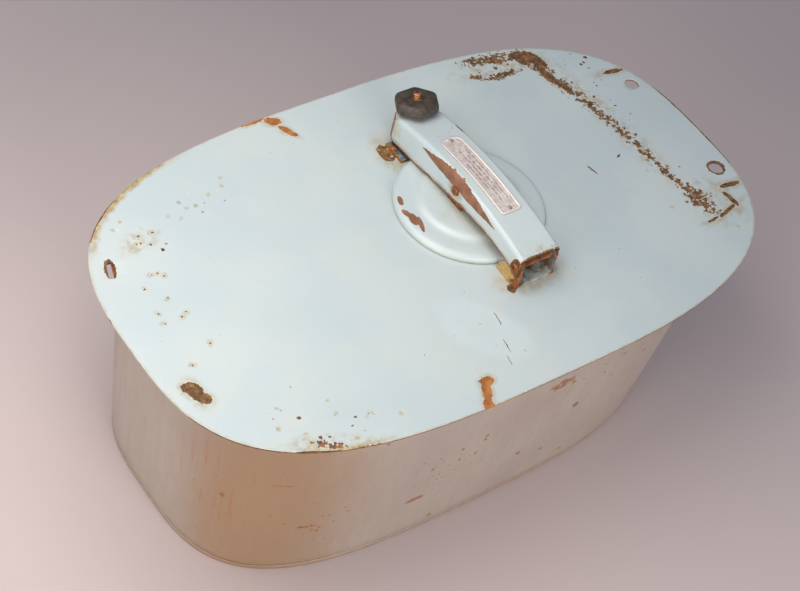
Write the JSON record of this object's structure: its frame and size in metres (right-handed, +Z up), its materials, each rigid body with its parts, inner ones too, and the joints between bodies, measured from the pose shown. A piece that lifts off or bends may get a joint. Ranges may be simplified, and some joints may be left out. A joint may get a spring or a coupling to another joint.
{
  "type": "clamped-hatch steel tub",
  "caption": "Tapered sheet-steel tub with an overhanging rounded top plate and a round hatch held shut by a hinged clamp arm with a hand knob.",
  "frame": {"origin": "middle of the box's foot: under the centre of the top plate, on the surface that the tub stands on", "axes": "+X along the tub towards the end with the two open fixing holes, +Y across it towards the knob, +Z up"},
  "size_m": [0.624, 0.368, 0.2775],
  "materials": {
    "pale_blue_paint": "worn pale blue enamel over steel, chipped to rust",
    "tub_steel": "satin grey-brown lacquer with rust tint",
    "rusty_steel": "rusted steel",
    "bare_steel": "dull bare steel",
    "gasket_rubber": "matt black rubber",
    "bakelite": "worn black-brown moulding",
    "brass": "tarnished brass",
    "aluminium_plate": "scuffed aluminium sheet, no marking"
  },
  "bodies": {
    "tub": {"tub_wall": "tub_steel", "tub_bottom": "tub_steel", "top_weld_bead": "rusty_steel", "top_plate": "pale_blue_paint", "hatch_neck": "pale_blue_paint", "hinge_bracket": "rusty_steel", "hinge_bracket_rivet_1": "rusty_steel", "hinge_bracket_rivet_2": "rusty_steel", "hinge_pin": "rusty_steel", "keeper_bracket": "rusty_steel", "keeper_rivet_1": "rusty_steel", "keeper_rivet_2": "rusty_steel"},
    "arm": {"clamp_arm": "pale_blue_paint", "nameplate": "aluminium_plate", "nameplate_rivet_1": "aluminium_plate", "nameplate_rivet_2": "aluminium_plate", "cap_pivot_pin": "rusty_steel"},
    "cap": {"hatch_cap": "pale_blue_paint", "hatch_gasket": "gasket_rubber", "hatch_spigot": "bare_steel", "cap_saddle": "rusty_steel", "cap_saddle_rivet_1": "rusty_steel", "cap_saddle_rivet_2": "rusty_steel"},
    "bolt": {"clamp_bolt": "brass"},
    "washer": {"thrust_washer": "bare_steel"},
    "knob": {"knob": "bakelite", "knob_insert": "brass"}
  },
  "joints": [
    {"name": "arm_lift", "type": "hinge", "parent": "tub", "child": "arm", "pos_m": [0.042, -0.0806, 0.244], "axis": [1, 0, 0], "range_deg": [0, 105]},
    {"name": "cap_tilt", "type": "hinge", "parent": "arm", "child": "cap", "pos_m": [0.042, 0.0115, 0.252], "axis": [1, 0, 0], "range_deg": [-6.5, 0]},
    {"name": "bolt_turn", "type": "hinge", "parent": "arm", "child": "bolt", "pos_m": [0.042, 0.105, 0.25695], "axis": [0, 0.235, 0.972], "range_deg": [0, 90]},
    {"name": "washer_rise", "type": "slide", "parent": "arm", "child": "washer", "axis": [0, 0.235, 0.972], "range_m": [0, 0.00302]},
    {"name": "knob_turn", "type": "hinge", "parent": "washer", "child": "knob", "pos_m": [0.042, 0.105, 0.25695], "axis": [0, 0.235, 0.972], "range_deg": [0, 720]}
  ],
  "couplings": [
    {"joint": "cap_tilt", "follows": "arm_lift", "ratio": -0.06},
    {"joint": "washer_rise", "follows": "knob_turn", "m_per_rad": 0.00023873}
  ]
}
